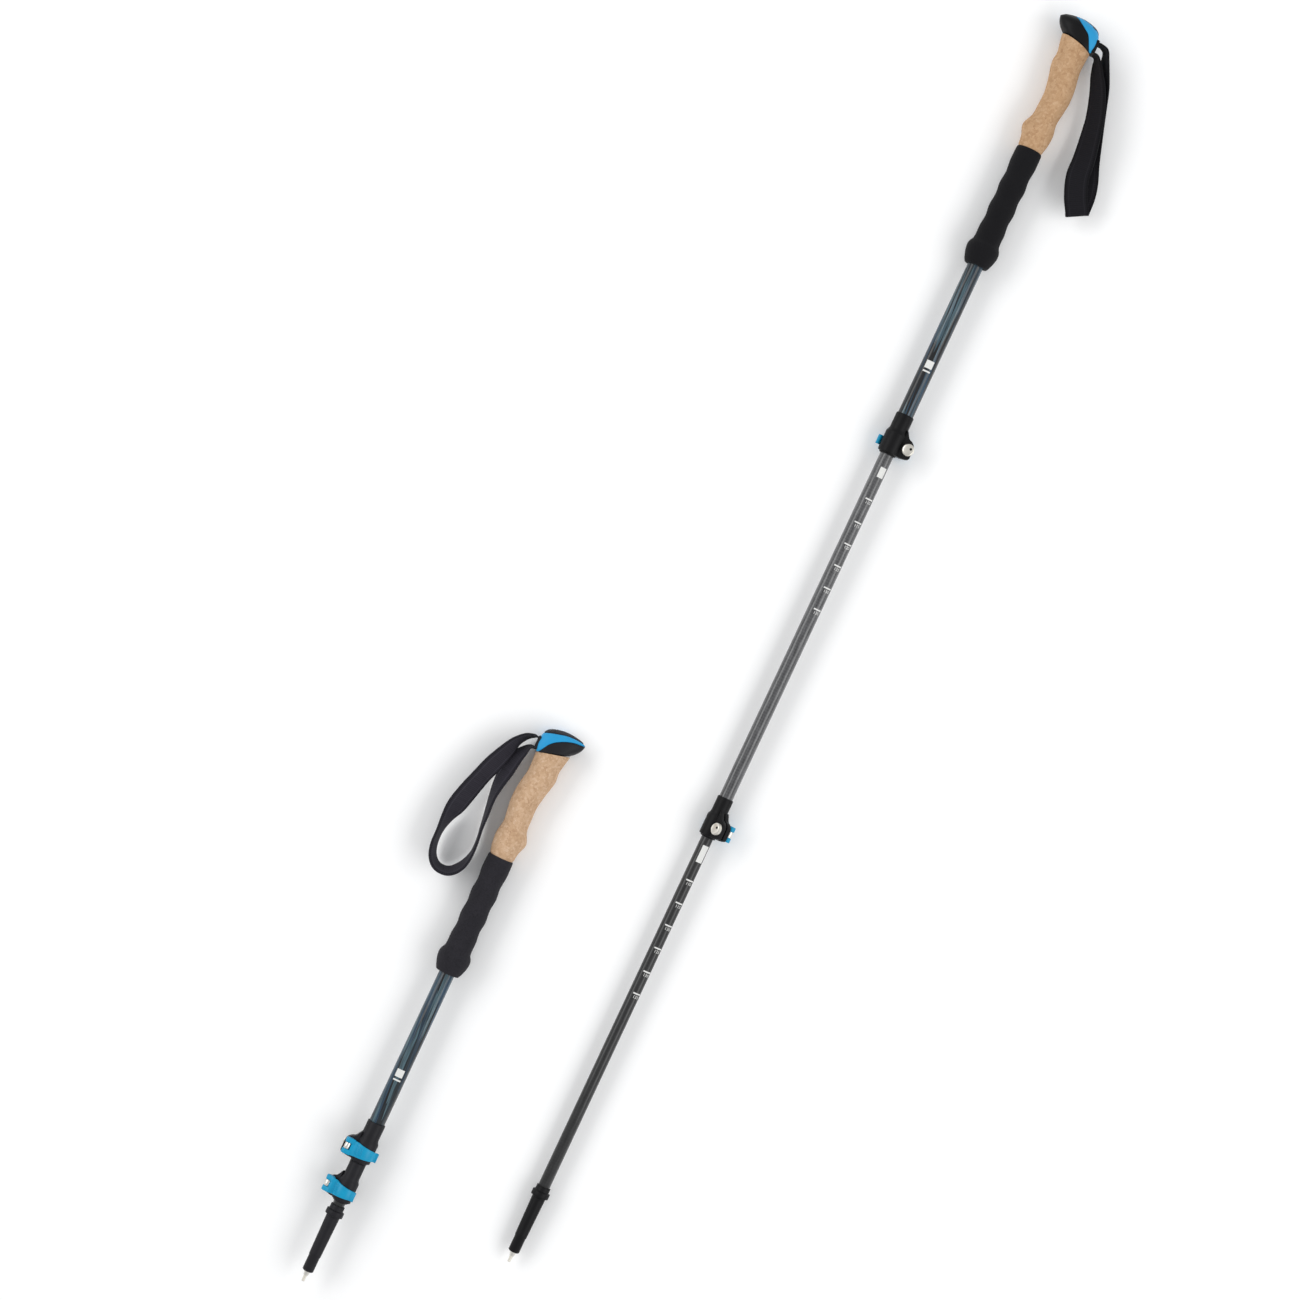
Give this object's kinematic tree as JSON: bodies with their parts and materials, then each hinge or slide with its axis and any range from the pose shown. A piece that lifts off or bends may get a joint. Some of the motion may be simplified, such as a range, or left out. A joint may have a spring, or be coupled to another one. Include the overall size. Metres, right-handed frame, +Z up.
{
  "type": "trekking poles",
  "caption": "Pair of telescopic trekking poles with cork and foam grips, wrist straps and lever locks; one drawn out, one pushed together.",
  "frame": {"origin": "bottom centre of the pair lying on a floor: middle of the bounding box in X and Y, lowest point in Z", "axes": "+Y along the poles towards their grips, +Z up, +X from the short pole towards the long pole"},
  "size_m": [0.3282, 1.4504, 0.0373],
  "materials": {
    "black_plastic": "satin",
    "blue_overmould": "soft satin",
    "webbing": "woven",
    "cork": "matt, granular",
    "foam": "matt, fine-celled",
    "upper_finish": "gloss",
    "middle_finish": "gloss, woven look",
    "lower_finish": "gloss",
    "blue_lever": "satin",
    "nut_metal": "fine turned",
    "steel": "bright",
    "carbide": "ground"
  },
  "bodies": {
    "long_upper_section": {"long_head_shell": "black_plastic", "long_head_overmould": "blue_overmould", "long_head_top_pad": "black_plastic", "long_strap_pin": "steel", "long_strap_root": "webbing", "long_grip_core": "black_plastic", "long_cork_grip": "cork", "long_foam_grip": "foam", "long_upper_tube": "upper_finish", "long_upper_lock_body": "black_plastic", "long_upper_lock_pin": "steel", "long_upper_lock_screw": "steel", "long_upper_lock_washer": "steel"},
    "long_middle_section": {"long_middle_tube": "middle_finish", "long_middle_bushing": "black_plastic", "long_lower_lock_body": "black_plastic", "long_lower_lock_pin": "steel", "long_lower_lock_screw": "steel", "long_lower_lock_washer": "steel"},
    "long_lower_section": {"long_lower_tube": "lower_finish", "long_lower_bushing": "black_plastic", "long_tip_stem": "black_plastic", "long_tip_holder": "steel", "long_carbide_tip": "carbide"},
    "long_upper_lever": {"long_upper_lock_lever": "blue_lever"},
    "long_upper_nut": {"long_upper_lock_nut": "nut_metal"},
    "long_lower_lever": {"long_lower_lock_lever": "blue_lever"},
    "long_lower_nut": {"long_lower_lock_nut": "nut_metal"},
    "long_strap": {"long_strap_loop": "webbing"},
    "long_wedge": {"long_strap_wedge": "black_plastic"},
    "short_upper_section": {"short_head_shell": "black_plastic", "short_head_overmould": "blue_overmould", "short_head_top_pad": "black_plastic", "short_strap_pin": "steel", "short_strap_root": "webbing", "short_grip_core": "black_plastic", "short_cork_grip": "cork", "short_foam_grip": "foam", "short_upper_tube": "upper_finish", "short_upper_lock_body": "black_plastic", "short_upper_lock_pin": "steel", "short_upper_lock_screw": "steel", "short_upper_lock_washer": "steel"},
    "short_middle_section": {"short_middle_tube": "middle_finish", "short_middle_bushing": "black_plastic", "short_lower_lock_body": "black_plastic", "short_lower_lock_pin": "steel", "short_lower_lock_screw": "steel", "short_lower_lock_washer": "steel"},
    "short_lower_section": {"short_lower_tube": "lower_finish", "short_lower_bushing": "black_plastic", "short_tip_stem": "black_plastic", "short_tip_holder": "steel", "short_carbide_tip": "carbide"},
    "short_upper_lever": {"short_upper_lock_lever": "blue_lever"},
    "short_upper_nut": {"short_upper_lock_nut": "nut_metal"},
    "short_lower_lever": {"short_lower_lock_lever": "blue_lever"},
    "short_lower_nut": {"short_lower_lock_nut": "nut_metal"},
    "short_strap": {"short_strap_loop": "webbing"},
    "short_wedge": {"short_strap_wedge": "black_plastic"}
  },
  "joints": [
    {"name": "long_middle_slide", "type": "slide", "parent": "long_upper_section", "child": "long_middle_section", "axis": [0, 1, 0.0052], "range_m": [0, 0.374]},
    {"name": "long_lower_slide", "type": "slide", "parent": "long_middle_section", "child": "long_lower_section", "axis": [0, 1, 0.0052], "range_m": [0, 0.3765]},
    {"name": "long_upper_lever_hinge", "type": "hinge", "parent": "long_upper_section", "child": "long_upper_lever", "pos_m": [0.09976, 0.26742, 0.00581], "axis": [0, -1, -0.0052], "range_deg": [0, 140]},
    {"name": "long_upper_nut_turn", "type": "hinge", "parent": "long_upper_section", "child": "long_upper_nut", "pos_m": [0.09976, 0.26732, 0.02482], "axis": [0, -0.0052, 1], "range_deg": [-180, 180]},
    {"name": "long_lower_lever_hinge", "type": "hinge", "parent": "long_middle_section", "child": "long_lower_lever", "pos_m": [0.10116, -0.14966, 0.0193], "axis": [0, -1, -0.0052], "range_deg": [0, 140]},
    {"name": "long_lower_nut_turn", "type": "hinge", "parent": "long_middle_section", "child": "long_lower_nut", "pos_m": [0.0866, -0.14972, 0.03151], "axis": [-0.766, -0.0034, 0.6428], "range_deg": [-180, 180]},
    {"name": "long_strap_swing", "type": "hinge", "parent": "long_upper_section", "child": "long_strap", "pos_m": [0.10176, 0.70396, 0.0185], "axis": [0, -0.0052, 1], "range_deg": [-5, 30]},
    {"name": "long_wedge_lift", "type": "slide", "parent": "long_upper_section", "child": "long_wedge", "axis": [0, 1, 0.0052], "range_m": [0, 0.01]},
    {"name": "short_middle_slide", "type": "slide", "parent": "short_upper_section", "child": "short_middle_section", "axis": [0, 0.9999, -0.011], "range_m": [-0.374, 0]},
    {"name": "short_lower_slide", "type": "slide", "parent": "short_middle_section", "child": "short_lower_section", "axis": [0, 0.9999, -0.011], "range_m": [-0.3765, 0]},
    {"name": "short_upper_lever_hinge", "type": "hinge", "parent": "short_upper_section", "child": "short_upper_lever", "pos_m": [-0.10934, -0.58411, 0.0307], "axis": [0, -0.9999, 0.011], "range_deg": [0, 140]},
    {"name": "short_upper_nut_turn", "type": "hinge", "parent": "short_upper_section", "child": "short_upper_nut", "pos_m": [-0.10934, -0.58432, 0.0117], "axis": [0, -0.011, -0.9999], "range_deg": [-180, 180]},
    {"name": "short_lower_lever_hinge", "type": "hinge", "parent": "short_middle_section", "child": "short_lower_lever", "pos_m": [-0.11145, -0.62721, 0.02198], "axis": [0, -0.9999, 0.011], "range_deg": [0, 140]},
    {"name": "short_lower_nut_turn", "type": "hinge", "parent": "short_middle_section", "child": "short_lower_nut", "pos_m": [-0.10195, -0.62739, 0.00552], "axis": [0.5, -0.0095, -0.866], "range_deg": [-180, 180]},
    {"name": "short_strap_swing", "type": "hinge", "parent": "short_upper_section", "child": "short_strap", "pos_m": [-0.11134, -0.14765, 0.0155], "axis": [0, -0.011, -0.9999], "range_deg": [-5, 30]},
    {"name": "short_wedge_lift", "type": "slide", "parent": "short_upper_section", "child": "short_wedge", "axis": [0, 0.9999, -0.011], "range_m": [0, 0.01]},
    {"name": "short_pole_apart", "type": "slide", "parent": "long_upper_section", "child": "short_upper_section", "axis": [-1, 0, 0], "range_m": [0, 0.25]}
  ]
}
